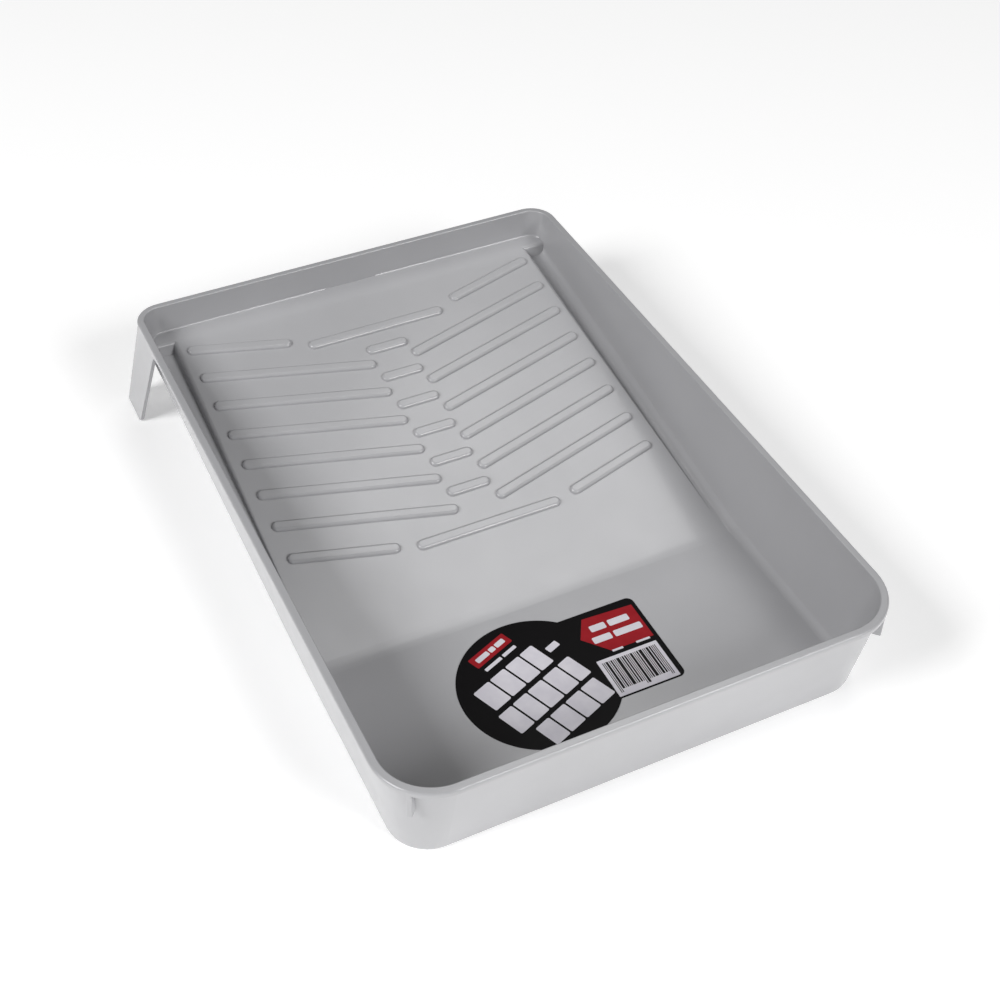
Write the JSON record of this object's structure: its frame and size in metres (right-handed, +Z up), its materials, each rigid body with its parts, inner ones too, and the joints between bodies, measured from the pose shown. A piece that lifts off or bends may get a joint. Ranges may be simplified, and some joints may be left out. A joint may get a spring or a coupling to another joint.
{
  "type": "paint roller tray",
  "caption": "Shallow plastic paint roller tray: flat front well, ramp with raised slanted ribs, side gutters, rolled rim, two splayed back legs and a label on the well floor.",
  "frame": {"origin": "on the ground, under the middle of the overall rim", "axes": "+Y from the well towards the legs, +Z up, +X to the right when looking from the well up the ramp"},
  "size_m": [0.3068, 0.4134, 0.063],
  "materials": {
    "tray_plastic": "satin moulded grey plastic",
    "label_film": "printed adhesive film, black"
  },
  "bodies": {
    "root": {"tray_body": "tray_plastic", "label": "label_film"}
  },
  "joints": []
}
